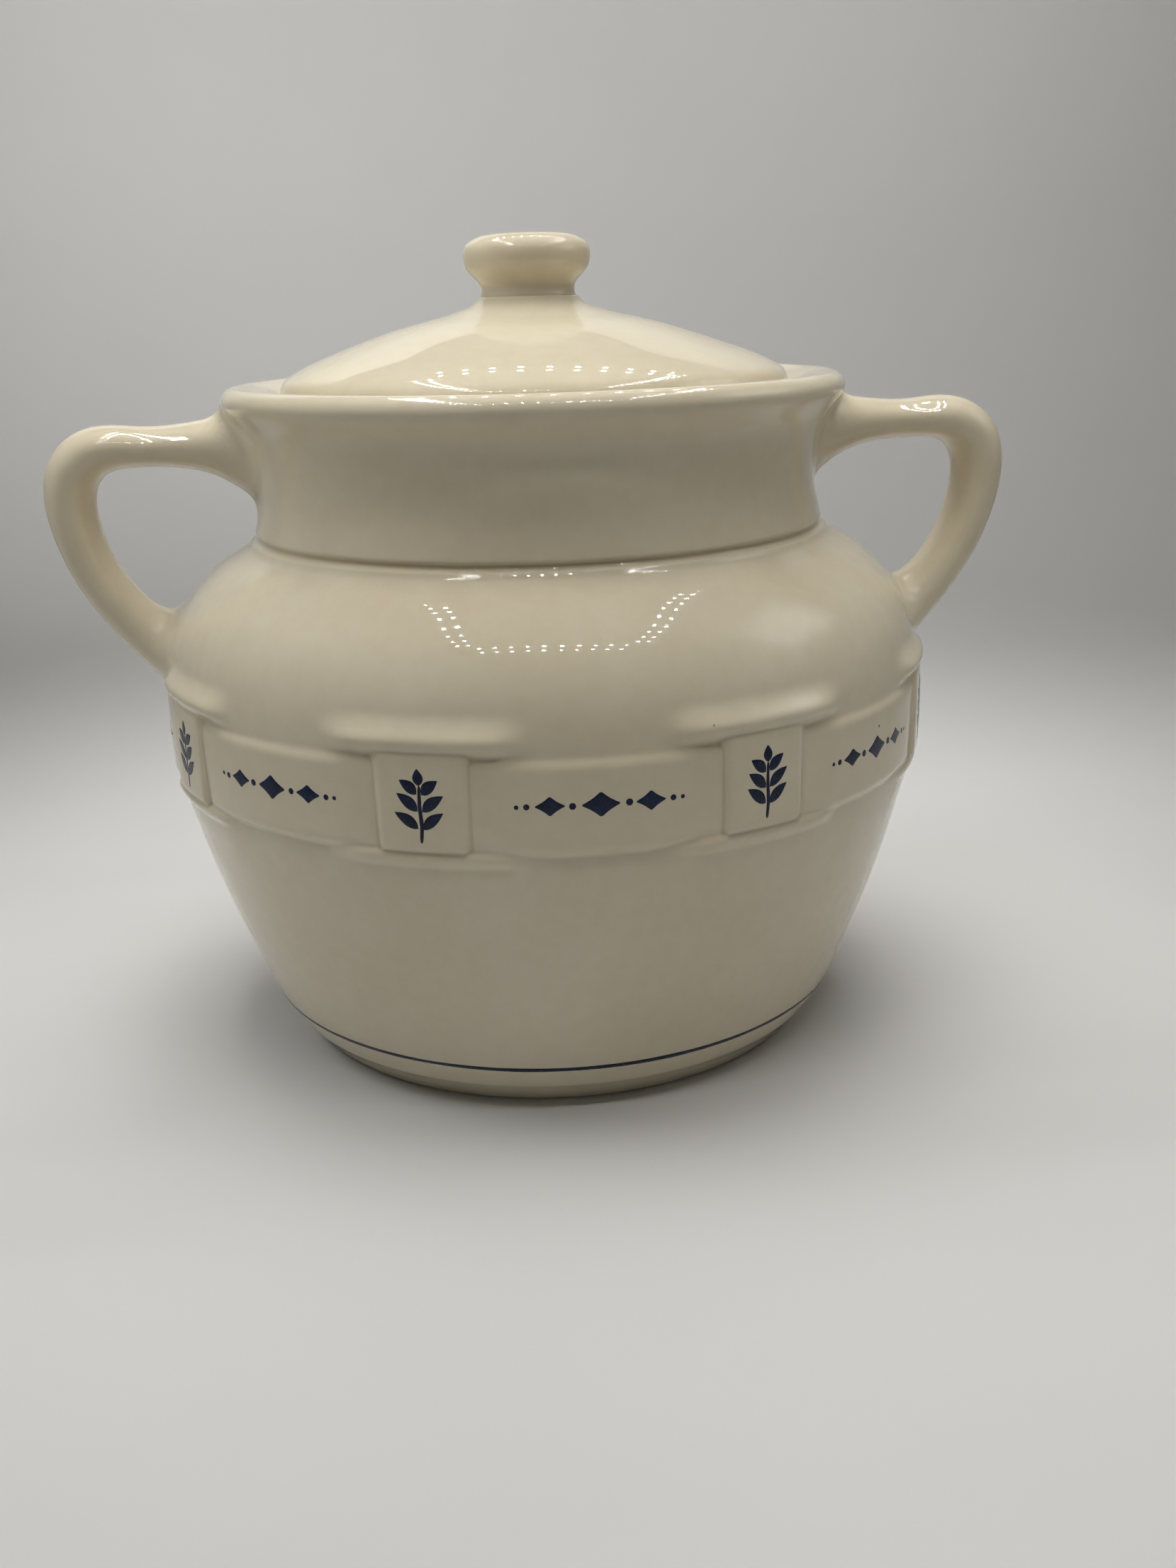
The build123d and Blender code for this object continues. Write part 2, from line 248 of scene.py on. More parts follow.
def look_up(t, x, z):
    x0, z0, step, v = t
    u = np.clip((x - x0) / step, 0, v.shape[0] - 1.001)
    w = np.clip((z - z0) / step, 0, v.shape[1] - 1.001)
    i, j = u.astype(int), w.astype(int)
    f, g = (u - i)[:, None], (w - j)[:, None]
    return (v[i, j] * (1 - f) + v[i + 1, j] * f) * (1 - g) + (v[i, j + 1] * (1 - f) + v[i + 1, j + 1] * f) * g


def near_wall(q):
    """Signed distance from points (r, z) to the pot's outer line, positive outside."""
    p = wall[at_edge : at_crest + 400][::14]
    a, d = p[:-1], np.diff(p, axis=0)
    n = np.stack([d[:, 1], -d[:, 0]], 1) / np.linalg.norm(d, axis=1)[:, None]
    out = np.empty(len(q))
    for k in range(0, len(q), 20000):
        c = q[k : k + 20000, None] - a[None]
        t = np.clip((c * d).sum(-1) / (d * d).sum(-1), 0, 1)
        away = c - t[..., None] * d
        i = (away**2).sum(-1).argmin(1)
        j = np.arange(len(i))
        out[k : k + 20000] = np.linalg.norm(away[j, i], axis=1) * np.sign((away[j, i] * n[i]).sum(-1))
    return out[:, None]


def near_loop(q):
    """Offset from the handle's centre line, and its thickness, width and corner there."""
    p, o, size = centre[::8], centre_out[::8], centre_size[::8]
    out = np.empty((len(q), 4))
    for k in range(0, len(q), 20000):
        c = q[k : k + 20000, None] - p[None]
        i = (c**2).sum(-1).argmin(1)
        j = np.arange(len(i))
        away = c[j, i]
        out[k : k + 20000, 0] = np.linalg.norm(away, axis=1) * np.sign((away * o[i]).sum(-1))
        out[k : k + 20000, 1:] = size[i]
    return out


WALL_TABLE = table(52, 134, 84, 184, 0.4, near_wall)
LOOP_TABLE = table(60, 136, 90, 184, 0.3, near_loop)


def wall_distance(p):
    r = np.hypot(p[:, 0], p[:, 1])
    phi = np.arctan2(p[:, 1], p[:, 0])
    return look_up(WALL_TABLE, r, p[:, 2])[:, 0] - relief(phi, p[:, 2])


def loop_distance(p):
    f = look_up(LOOP_TABLE, p[:, 0], p[:, 2])
    n, y = np.abs(f[:, 0]) + 1e-6, np.abs(p[:, 1]) + 1e-6
    size = ((n / f[:, 1]) ** ROUND + (y / f[:, 2]) ** ROUND) ** (1 / ROUND) * 2
    return np.hypot(n, y) * (1 - 1 / size)


def fill_width(p):
    k = K_LOW + (K_TOP - K_LOW) * smooth(124.0, 146.0, p[:, 2])
    return k * (0.45 + 0.55 * smooth(100.0, 109.5, p[:, 2]))


def settle(p, n, own, other):
    """Moves points out along n to the smooth union of the wall and the right handle, own being the distance to
    the piece that the points belong to. Past the middle of the fill they sink slowly under it."""
    def over(q):
        a, b, k = own(q), other(q), fill_width(q)
        h = np.clip(k - np.abs(a - b), 0, None) / k
        past = np.clip(a - b, 0, None)
        return np.minimum(a, b) - h**3 * k / 6 + 0.005 * past + 0.014 * past**2

    need = over(p) < -1e-3
    low, high = np.zeros(len(p)), fill_width(p) * 0.42
    for _ in range(14):
        mid = (low + high) / 2
        inside = over(p + n * mid[:, None]) < 0
        low, high = np.where(inside, mid, low), np.where(inside, high, mid)
    return p + n * np.where(need, high, 0.0)[:, None]


def in_fill(p):
    """0 to 1: how deep in the fill of a handle's root a point of the surface is."""
    a, b, k = wall_distance(p), loop_distance(p), fill_width(p)
    return smooth(0.0, 0.55, np.clip(k - np.abs(a - b), 0, None) / k)


def joined_normal(p):
    """Normals of the smooth union of the wall and the right handle."""
    def joined(q):
        a, b, k = wall_distance(q), loop_distance(q), fill_width(q)
        return np.minimum(a, b) - (np.clip(k - np.abs(a - b), 0, None) / k) ** 3 * k / 6

    g = np.stack([joined(p + step) - joined(p - step) for step in np.eye(3) * 0.3], 1)
    return g / (np.linalg.norm(g, axis=1)[:, None] + 1e-9)


def shade_roots(obj, turn):
    """Gives an object's points in a root's fill the joined surface's normals, so that wall and handle shade as one."""
    mesh = obj.data
    p = np.empty(len(mesh.vertices) * 3, np.float32)
    mesh.vertices.foreach_get("co", p)
    n = np.empty(len(mesh.vertices) * 3, np.float32)
    mesh.vertex_normals.foreach_get("vector", n)
    p, n = p.reshape(-1, 3).astype(float) / MM, n.reshape(-1, 3).astype(float)
    for side in turn:
        side = np.array([side, side, 1.0])
        q = p * side
        near = np.nonzero((q[:, 0] > 55) & (np.abs(q[:, 1]) < 36) & (q[:, 2] > 84))[0]
        near = near[wall_distance(q[near]) > -1.5]
        share = in_fill(q[near])
        near, share = near[share > 0], share[share > 0][:, None]
        m = n[near] * (1 - share) + joined_normal(q[near]) * side * share
        n[near] = m / np.linalg.norm(m, axis=1)[:, None]
    mesh.normals_split_custom_set_from_vertices(n.tolist())


# ---------------------------------------------------------------- meshes
def make_mesh(name, points, faces, shade=None):
    """points in mm, faces as a list of index arrays, (n, 3) or (n, 4)."""
    mesh = bpy.data.meshes.new(name)
    loops = np.concatenate([f.ravel() for f in faces]).astype(np.int32)
    totals = np.concatenate([np.full(len(f), f.shape[1]) for f in faces]).astype(np.int32)
    starts = np.concatenate([[0], np.cumsum(totals)[:-1]]).astype(np.int32)
    mesh.vertices.add(len(points))
    mesh.vertices.foreach_set("co", (points * MM).astype(np.float32).ravel())
    mesh.loops.add(len(loops))
    mesh.loops.foreach_set("vertex_index", loops)
    mesh.polygons.add(len(totals))
    mesh.polygons.foreach_set("loop_start", starts)
    mesh.polygons.foreach_set("loop_total", totals)
    mesh.update(calc_edges=True)
    mesh.polygons.foreach_set("use_smooth", np.ones(len(totals), bool))
    if shade is not None:
        mesh.attributes.new("hollow", "FLOAT", "POINT").data.foreach_set("value", shade.astype(np.float32))
    mesh.update()
    mesh.validate()
    obj = bpy.data.objects.new(name, mesh)
    bpy.context.scene.collection.objects.link(obj)
    return obj


def ring_faces(rows, cols, first=0):
    i, j = np.meshgrid(np.arange(rows - 1), np.arange(cols), indexing="ij")
    a, b = i * cols + j, i * cols + (j + 1) % cols
    return np.stack([a, b, b + cols, a + cols], -1).reshape(-1, 4) + first


def fan(tip, ring, flip):
    """Triangles from a tip to a closed ring."""
    a, b = ring, np.roll(ring, -1)
    t = np.full(len(ring), tip)
    return np.stack([t, b, a] if flip else [t, a, b], 1)


def hollowness(grid, closed_rows=False):
    """How hollow (over 0) or how sharp (under 0) each point of a grid is, in 1/mm; grid is rows, columns, xyz."""
    left, right = np.roll(grid, 1, 1), np.roll(grid, -1, 1)
    up, down = np.roll(grid, -1, 0), np.roll(grid, 1, 0)
    if not closed_rows:
        up[-1], down[0] = 2 * grid[-1] - grid[-2], 2 * grid[0] - grid[1]
    du, dv = right - left, up - down
    n = np.cross(du, dv)
    n /= np.maximum(np.linalg.norm(n, axis=-1, keepdims=True), 1e-9)
    lu = (np.linalg.norm(du, axis=-1) / 2) ** 2
    lv = (np.linalg.norm(dv, axis=-1) / 2) ** 2
    h = (((left + right) / 2 - grid) * n).sum(-1) * 2 / np.maximum(lu, 1e-6)
    v = (((up + down) / 2 - grid) * n).sum(-1) * 2 / np.maximum(lv, 1e-6)
    return h + v


# columns: close together at the upright splints' edges and where the handles are
phi_fine = np.linspace(0, TAU, 14401)
aa = np.abs(from_stake(phi_fine))
column_gap = np.full(len(phi_fine), 2.2)
column_gap = np.where((aa > 8.6) & (aa < 14.2), 0.62, column_gap)
column_gap = np.where((aa >= 14.2) & (aa < 27.5), 1.5, column_gap)
at_handle = np.minimum(np.abs((phi_fine + math.pi / 2) % math.pi - math.pi / 2), 9) * RAD
column_gap = np.where(at_handle < 26, np.minimum(column_gap, 1.25), column_gap)
column_gap = np.where((at_handle > 8.5) & (at_handle < 19), 0.62, column_gap)
half = len(column_gap) - 1
column_gap = 1 / blurred(1 / np.concatenate([column_gap[:-1]] * 3), 12)[half : 2 * half + 1]
PHI = spread(phi_fine, column_gap / RAD, 8)[:-1]
COLS = len(PHI)

# rows
z_of, r_of = wall[:, 1], wall[:, 0]
row_gap = np.full(len(wall), 3.2)
index = np.arange(len(wall))
outer = (index >= at_edge) & (index <= at_crest)
row_gap = np.where(outer, 1.5, row_gap)
row_gap = np.where(outer & (z_of > 63) & (z_of < 119), 0.66, row_gap)
row_gap = np.where(outer & (z_of >= 119) & (z_of < 134), 0.95, row_gap)
row_gap = np.where(outer & (z_of > 133.5) & (z_of < 144), 0.36, row_gap)
row_gap = np.where(outer & (z_of > 144) & (z_of < 168), 0.75, row_gap)
row_gap = np.where(outer & (z_of > 168), 0.6, row_gap)
row_gap = np.where((index >= at_foot - 30) & (index < at_edge + 40), 0.55, row_gap)
row_gap = np.where((index > at_crest) & (index <= at_ledge + 60), 0.6, row_gap)
row_gap = np.where(index < at_foot - 30, 6.0, row_gap)
row_gap = 1 / blurred(1 / row_gap, 14)
row_s = spread(wall_s, row_gap)
row_r, row_z = np.interp(row_s, wall_s, r_of), np.interp(row_s, wall_s, z_of)
tangent = np.gradient(wall, axis=0)
tangent /= np.linalg.norm(tangent, axis=1)[:, None]
row_n = np.stack([np.interp(row_s, wall_s, tangent[:, 1]), -np.interp(row_s, wall_s, tangent[:, 0])], 1)
first = int(np.searchsorted(row_s, wall_s[at_foot] - 1.0))
last = int(np.searchsorted(row_s, wall_s[at_ledge] + 2.0))
fine_rows = np.arange(first, last + 1)
r, z = row_r[fine_rows][:, None], row_z[fine_rows][:, None]
phi = PHI[None, :] + 0 * r
zz = z + 0 * phi
on_outside = ((row_s[fine_rows] >= wall_s[at_edge]) & (row_s[fine_rows] <= wall_s[at_crease]))[:, None]
fade_edge = smooth(0.0, 6.0, np.minimum(row_s[fine_rows] - wall_s[at_foot], wall_s[at_ledge] - row_s[fine_rows]))[:, None]
radius = r + np.where(on_outside, relief(phi, zz), 0.0) + wave(phi, zz) * fade_edge * smooth(4.0, 16.0, zz)
grid = np.stack([radius * np.cos(phi), radius * np.sin(phi), zz], -1)
nr, nz = row_n[fine_rows][:, :1], row_n[fine_rows][:, 1:]
norm = np.stack([nr * np.cos(phi), nr * np.sin(phi), nz + 0 * phi], -1)
for turn in (1.0, -1.0):
    side = np.array([turn, turn, 1.0])
    g = grid * side
    near = (g[..., 0] > 55) & (np.abs(g[..., 1]) < 36) & (zz > 84) & (row_s[fine_rows] <= wall_s[at_crest] + 4)[:, None]
    grid[near] = settle(g[near], (norm * side)[near], wall_distance, loop_distance) * side
# how hollow each point is; the glaze darkens hollows with it, partly as pooled glaze and partly as painted shade
shade_fine = blurred(hollowness(grid), 1.2)
for turn in (1.0, -1.0):
    g = grid * np.array([turn, turn, 1.0])
    near = (g[..., 0] > 55) & (np.abs(g[..., 1]) < 36) & (zz > 84) & (row_s[fine_rows] <= wall_s[at_crest] + 4)[:, None]
    share = in_fill(g[near])
    shade_fine[near] = shade_fine[near] * (1 - share) + 0.10 * share
rows = len(fine_rows)

COARSE = np.arange(0, COLS, 4)
NC = len(COARSE)


def coarse_rows(ids):
    return np.stack([np.stack([row_r[i] * np.cos(PHI[COARSE]), row_r[i] * np.sin(PHI[COARSE]), np.full(NC, row_z[i])], -1) for i in ids])


base_ids = [i for i in range(first - 1, 0, -1)]
inside_ids = [i for i in range(last + 1, len(row_s) - 1)]
points = [grid.reshape(-1, 3)]
faces = [ring_faces(rows, COLS)]
count = rows * COLS


def stitch(fine_start, coarse_start, inward):
    """Triangles between a fine ring and a ring of every fourth column."""
    c = np.arange(NC)
    c0, c1 = coarse_start + c, coarse_start + (c + 1) % NC
    f = [fine_start + (4 * c + k) % COLS for k in range(5)]
    t = [(c0, f[0], f[1]), (c0, f[1], f[2]), (c0, f[2], c1), (c1, f[2], f[3]), (c1, f[3], f[4])]
    tri = np.concatenate([np.stack(x, 1) for x in t])
    return tri[:, ::-1] if inward else tri


base = coarse_rows(base_ids)
points.append(base.reshape(-1, 3))
faces.append(stitch(0, count, False)[:, ::1])
faces.append(ring_faces(len(base_ids), NC, count)[:, ::-1])
base_tip = count + len(base_ids) * NC
points.append(np.array([[0, 0, wall[0, 1]]]))
faces.append(fan(base_tip, count + (len(base_ids) - 1) * NC + np.arange(NC), True))
count = base_tip + 1
inside = coarse_rows(inside_ids)
points.append(inside.reshape(-1, 3))
faces.append(stitch((rows - 1) * COLS, count, True))
faces.append(ring_faces(len(inside_ids), NC, count))
inside_tip = count + len(inside_ids) * NC
points.append(np.array([[0, 0, wall[-1, 1]]]))
faces.append(fan(inside_tip, count + (len(inside_ids) - 1) * NC + np.arange(NC), False))
shade = np.concatenate([shade_fine.ravel(), np.zeros(inside_tip + 1 - rows * COLS)])
pot = make_mesh("pot_glazed", np.concatenate(points), faces, shade)

# handles: an oval strap swept round the loop, its roots filled out to the joined surface
around = np.arange(64) * TAU / 64
strap_y = np.sign(np.cos(around)) * np.abs(np.cos(around)) ** (2 / ROUND) / 2
strap_n = np.sign(np.sin(around)) * np.abs(np.sin(around)) ** (2 / ROUND) / 2
loop_gap = np.full(len(centre_s), 1.25)
loop_gap = np.where((centre_s < 27) | (centre_s > centre_s[-1] - 27), 0.62, loop_gap)
loop_rows = spread(centre_s, 1 / blurred(1 / loop_gap, 40))
tube = []
for s in loop_rows:
    c = [np.interp(s, centre_s, centre[:, i]) for i in (0, 1)]
    o = np.array([np.interp(s, centre_s, centre_out[:, i]) for i in (0, 1)])
    o /= np.linalg.norm(o)
    t, w = (np.interp(s, centre_s, centre_size[:, i]) for i in range(2))
    y, n = strap_y * w, strap_n * t
    tube.append(np.stack([c[0] + o[0] * n, y, c[1] + o[1] * n], 1))
tube = np.array(tube)
tr, tc = tube.shape[:2]
du = np.roll(tube, -1, 1) - np.roll(tube, 1, 1)
dv = np.gradient(tube, axis=0)
tn = np.cross(du, dv)
tn /= np.linalg.norm(tn, axis=-1, keepdims=True)
mid_line = tube.mean(1, keepdims=True)
if ((tube - mid_line) * tn).sum() < 0:
    tn = -tn
    tube_flip = True
else:
    tube_flip = False
tube = settle(tube.reshape(-1, 3), tn.reshape(-1, 3), loop_distance, wall_distance).reshape(tr, tc, 3)
deep = wall_distance(tube.reshape(-1, 3)).reshape(tr, tc)
out_n = tube * np.array([1, 1, 0])
out_n /= np.linalg.norm(out_n, axis=-1, keepdims=True)
tube = tube + out_n * np.where(deep < -3.0, -3.0 - deep, 0.0)[..., None]
tube_faces = ring_faces(tr, tc)
tips = np.array([tube[0].mean(0), tube[-1].mean(0)])
tube_all = [tube_faces, fan(tr * tc, np.arange(tc), True), fan(tr * tc + 1, (tr - 1) * tc + np.arange(tc), False)]
if tube_flip:
    tube_all = [f[:, ::-1] for f in tube_all]
tube_points = np.concatenate([tube.reshape(-1, 3), tips])
tube_share = in_fill(tube.reshape(-1, 3))
# hollow values for the glaze's darkening of hollows: partly pooled glaze, partly painted shade
tube_shade = np.concatenate([(hollowness(tube) * (-1 if tube_flip else 1)).ravel() * (1 - tube_share) + 0.10 * tube_share, np.zeros(2)])
handle_right = make_mesh("handle_right_glazed", tube_points, tube_all, tube_shade)
handle_left = make_mesh("handle_left_glazed", tube_points * np.array([-1, -1, 1]), tube_all, tube_shade)
shade_roots(pot, (1.0, -1.0))
shade_roots(handle_right, (1.0,))
shade_roots(handle_left, (-1.0,))


# ---------------------------------------------------------------- lid and knob
def turned(path, cols, gap, wobble=0.0):
    """A closed surface of revolution from a dense path that starts and ends on the axis, its top leaning a little to -X."""
    s = length_along(path)
    rs = spread(s, gap)
    rr, rz = np.interp(rs, s, path[:, 0]), np.interp(rs, s, path[:, 1])
    a = np.arange(cols) * TAU / cols
    q = slice(1, -1)
    rad = rr[q][:, None] + wobble * (np.sin(2 * a + 0.6 + rz[q][:, None] * 0.05) + 0.5 * np.sin(5 * a - rz[q][:, None] * 0.09)) * smooth(4, 30, rr[q])[:, None]
    h = rz[q][:, None] + 0.8 * wobble * np.sin(3 * a + rr[q][:, None] * 0.06) * smooth(4, 30, rr[q])[:, None]
    g = np.stack([rad * np.cos(a), rad * np.sin(a), h + 0 * a], -1)
    n = len(g)
    pts = np.concatenate([g.reshape(-1, 3), [[0, 0, rz[0]], [0, 0, rz[-1]]]])
    pts[:, 0] -= 0.85 * smooth(179.0, 190.0, pts[:, 2])
    f = [ring_faces(n, cols), fan(n * cols, np.arange(cols), True), fan(n * cols + 1, (n - 1) * cols + np.arange(cols), False)]
    sh = np.concatenate([hollowness(g).ravel(), np.zeros(2)])
    return pts, f, sh


lid_path = join(
    line((0, 188.7), (0.2, 188.7)),
    through([(0.2, 188.7), (20.0, 187.7), (34.0, 185.2), (45.0, 181.9), (53.0, 177.4), (56.2, 171.0), (56.8, 163.3)], (1, 0), (0, -1)),
    arc((56.8, 163.3), (59.2, 161.5), (61.6, 163.3)), line((61.6, 163.3), (61.6, 169.7)),
    line((61.6, 169.7), (62.4, 170.5)), line((62.4, 170.5), (68.3, 170.5)), line((68.3, 170.5), (68.3, 175.6)),
    through([(68.3, 175.6), (67.2, 178.7), (64.2, 181.0), (59.8, 183.1), (52.4, 185.9), (44.6, 188.6), (36.7, 191.1),
             (29.0, 193.1), (22.6, 194.6), (17.4, 196.2), (14.5, 197.7), (13.2, 199.2)]),
    line((13.2, 199.2), (0, 199.2)),
)
lid_path = even(soft_edges(lid_path, 0.3), FINE)
lid_gap = np.full(len(lid_path), 1.3)
lid_gap = np.where((lid_path[:, 0] > 55.5) & (lid_path[:, 1] < 181), 0.6, lid_gap)
lid_gap = np.where((lid_path[:, 0] < 24) & (lid_path[:, 1] > 191), 0.6, lid_gap)
lid_gap = np.where((lid_path[:, 0] < 11), 4.0, lid_gap)
lid_gap = 1 / blurred(1 / lid_gap, 14)
lid = make_mesh("lid_glazed", *turned(lid_path, 192, lid_gap, 0.05))

knob_path = join(
    line((0, 198.7), (12.7, 198.7)), line((12.7, 198.7), (12.7, 199.2)),
    through([(12.7, 199.2), (12.45, 201.4), (14.1, 203.9), (16.1, 206.2), (16.85, 208.7), (16.5, 211.6), (14.5, 213.5),
             (8.4, 214.95), (0, 215.26)], (-0.25, 1.0), (-1.0, 0.0)),
)
knob_path = even(soft_edges(knob_path, 0.15), FINE)
knob = make_mesh("knob_glazed", *turned(knob_path, 128, np.full(len(knob_path), 0.55), 0.03))

# ---------------------------------------------------------------- the bare ring of the foot
foot_path = join(
    line((66.9, 0.5), (66.9, 0.14)), line((66.9, 0.14), (67.5, 0.0)), line((67.5, 0.0), (72.6, 0.0)),
    line((72.6, 0.0), (73.4, 0.14)), line((73.4, 0.14), (73.4, 0.5)), line((73.4, 0.5), (66.9, 0.5)),
)
foot_rows = even(foot_path, 0.45)[:-1]
foot_a = np.arange(256) * TAU / 256
foot_jig = 0.10 * np.sin(7 * foot_a) + 0.07 * np.sin(19 * foot_a + 1.0)
foot_grid = np.stack([np.stack([(q[0] + foot_jig * (1 if q[0] > 70 else -1)) * np.cos(foot_a), (q[0] + foot_jig * (1 if q[0] > 70 else -1)) * np.sin(foot_a), np.full(256, q[1])], -1) for q in foot_rows])
closed = np.concatenate([foot_grid, foot_grid[:1]])
n = len(foot_rows)
i, j = np.meshgrid(np.arange(n), np.arange(256), indexing="ij")
a, b = i * 256 + j, i * 256 + (j + 1) % 256
c, d = ((i + 1) % n) * 256 + (j + 1) % 256, ((i + 1) % n) * 256 + j
foot = make_mesh("foot_ring_bare", foot_grid.reshape(-1, 3), [np.stack([a, b, c, d], -1).reshape(-1, 4)])


# ---------------------------------------------------------------- painted decoration
def on_wall(phi, z, off):
    """Points off the finished outer surface by off mm, at azimuth phi and height z."""
    def surface(p, h):
        rad = np.interp(h, OUT_Z, OUT_R) + relief(p, h) + wave(p, h) * smooth(4.0, 16.0, h)
        return np.stack([rad * np.cos(p), rad * np.sin(p), h], -1)
    e = 0.15
    u = surface(phi + e / RAD, z) - surface(phi - e / RAD, z)
    v = surface(phi, z + e) - surface(phi, z - e)
    n = np.cross(u, v)
    n /= np.linalg.norm(n, axis=-1, keepdims=True)
    return surface(phi, z) + n * off[..., None]


class Paint:
    """Collects painted shapes that lie on the glaze, each a thin closed shell."""

    def __init__(self):
        self.points, self.faces, self.count = [], [], 0

    def patch(self, outline, phi0, z0, height=0.05):
        """A shape with a centre that sees its whole outline; outline is (u, v) in mm, anticlockwise."""
        o = np.array(outline, float)
        m = o.mean(0)
        n = len(o)
        rings = [(0.35, height), (0.68, height), (0.93, height), (1.0, 0.35 * height), (1.0, -0.12)]
        pts = [np.concatenate([m + (o - m) * s, np.full((n, 1), h)], 1) for s, h in rings]
        pts = np.concatenate([np.array([[m[0], m[1], height]]), *pts, np.array([[m[0], m[1], -0.12]])])
        f = [fan(0, 1 + np.arange(n), False)]
        for k in range(4):
            a = 1 + k * n + np.arange(n)
            b = 1 + k * n + (np.arange(n) + 1) % n
            f.append(np.concatenate([np.stack([a, a + n, b + n], 1), np.stack([a, b + n, b], 1)]))
        f.append(fan(len(pts) - 1, 1 + 4 * n + np.arange(n), True))
        self.add(pts, f, phi0, z0)

    def add(self, pts, f, phi0, z0):
        place = on_wall(phi0 + pts[:, 0] / 105.2, z0 + pts[:, 1], pts[:, 2])
        self.points.append(place)
        self.faces.append(np.concatenate(f) + self.count)
        self.count += len(pts)

    def stroke(self, path, widths, phi0, z0, height=0.05):
        """A brush stroke along path with the given widths, with rounded ends."""
        p = even(np.array(path, float), 0.35)
        s = length_along(p) / length_along(p)[-1]
        w = np.interp(s, np.linspace(0, 1, len(widths)), widths) / 2
        d = np.gradient(p, axis=0)
        d /= np.linalg.norm(d, axis=1)[:, None]
        q = np.stack([-d[:, 1], d[:, 0]], 1)
        w = w * np.sqrt(np.clip(1 - np.clip(1 - s * 14, 0, 1) ** 2, 0.02, 1)) * np.sqrt(np.clip(1 - np.clip(1 - (1 - s) * 14, 0, 1) ** 2, 0.02, 1))
        lanes = [(-1.0, -0.12), (-1.0, 0.3 * height), (-0.72, height), (0.0, height), (0.72, height), (1.0, 0.3 * height), (1.0, -0.12)]
        g = np.stack([np.concatenate([p + q * (w * k)[:, None], np.full((len(p), 1), h)], 1) for k, h in lanes], 1)
        n, m = g.shape[:2]
        i, j = np.meshgrid(np.arange(n - 1), np.arange(m), indexing="ij")
        a, b = i * m + j, i * m + (j + 1) % m
        f = [np.concatenate([np.stack([a, a + m, b + m], -1).reshape(-1, 3), np.stack([a, b + m, b], -1).reshape(-1, 3)])]
        f.append(np.stack([np.zeros(m - 2, int), np.arange(1, m - 1), np.arange(2, m)], 1))
        e = (n - 1) * m
        f.append(np.stack([np.full(m - 2, e), e + np.arange(2, m), e + np.arange(1, m - 1)], 1))
        self.add(g.reshape(-1, 3), f, phi0, z0)

    def make(self, name):
        return make_mesh(name, np.concatenate(self.points), [np.concatenate(self.faces)])


def leaf(x, y, length, width, angle, bend=0.0):
    """A pointed leaf that starts at x, y."""
    t = np.linspace(0, 1, 11)
    half_w = width / 2 * np.sin(math.pi * t**0.82) ** 0.92
    mid = bend * np.sin(math.pi * t)
    low = np.stack([t * length, mid - half_w], 1)
    up = np.stack([t * length, mid + half_w], 1)[::-1][1:-1]
    p = np.concatenate([low, up])
    c, s = math.cos(angle), math.sin(angle)
    return [(x + c * u - s * v, y + s * u + c * v) for u, v in p]


def lozenge(x, y, w, h):
    """A diamond with slightly hollow sides and soft points."""
    out = []
    for k in range(4):
        a0, a1 = k * math.pi / 2, (k + 1) * math.pi / 2
        p0 = np.array([math.cos(a0) * w / 2, math.sin(a0) * h / 2])
        p1 = np.array([math.cos(a1) * w / 2, math.sin(a1) * h / 2])
        for t in (0.06, 0.2, 0.4, 0.6, 0.8, 0.94):
            pull = 1 - 0.10 * math.sin(math.pi * t)
            q = (p0 * (1 - t) + p1 * t) * pull
            out.append((x + q[0], y + q[1]))
    return out


def dot(x, y, d, n=14):
    return [(x + d / 2 * math.cos(TAU * k / n), y + d / 2 * math.sin(TAU * k / n)) for k in range(n)]


rng = np.random.default_rng(7)


def hand(v, by):
    return v + float(rng.normal(0, by))


sprigs, chains = Paint(), Paint()
for k in range(8):
    at = (k + 0.5) * SECTOR + BAND_TURN
    sway = hand(0, 0.15)
    sprigs.stroke([(sway - 0.2, -8.6), (0.15 + sway, -4.5), (0.0, 0.0), (0.1, 5.2)], [0.75, 1.0, 0.9, 0.7], at, 89.9)
    for y, size in ((-5.0, 6.6), (-0.9, 6.4), (3.0, 5.4)):
        for sgn in (1, -1):
            ang = math.radians(hand(40, 2.0))
            ang = ang if sgn > 0 else math.pi - ang
            sprigs.patch(leaf(0.55 * sgn, y + hand(0, 0.12), hand(size, 0.12), hand(2.75, 0.08), ang, 0.28 * sgn), at, 89.9)
    sprigs.patch(leaf(hand(0.05, 0.08), 5.1, hand(4.2, 0.1), 2.5, math.radians(hand(90, 2.5))), at, 89.9)
    mid = k * SECTOR + BAND_TURN
    z0 = 90.0 + hand(0, 0.1)
    chains.patch(lozenge(0, 0, hand(9.4, 0.15), hand(6.2, 0.1)), mid, z0)
    for sgn in (1, -1):
        chains.patch(dot(sgn * 6.5, hand(0, 0.06), hand(1.7, 0.05)), mid, z0)
        chains.patch(lozenge(sgn * 11.6, hand(0, 0.08), hand(7.4, 0.12), hand(4.7, 0.1)), mid, z0)
        chains.patch(dot(sgn * 16.9, hand(0, 0.06), hand(1.45, 0.05)), mid, z0)
        chains.patch(dot(sgn * 19.2, hand(0, 0.06), hand(1.0, 0.04)), mid, z0)
sprigs = sprigs.make("sprigs_blue")
chains = chains.make("chains_blue")

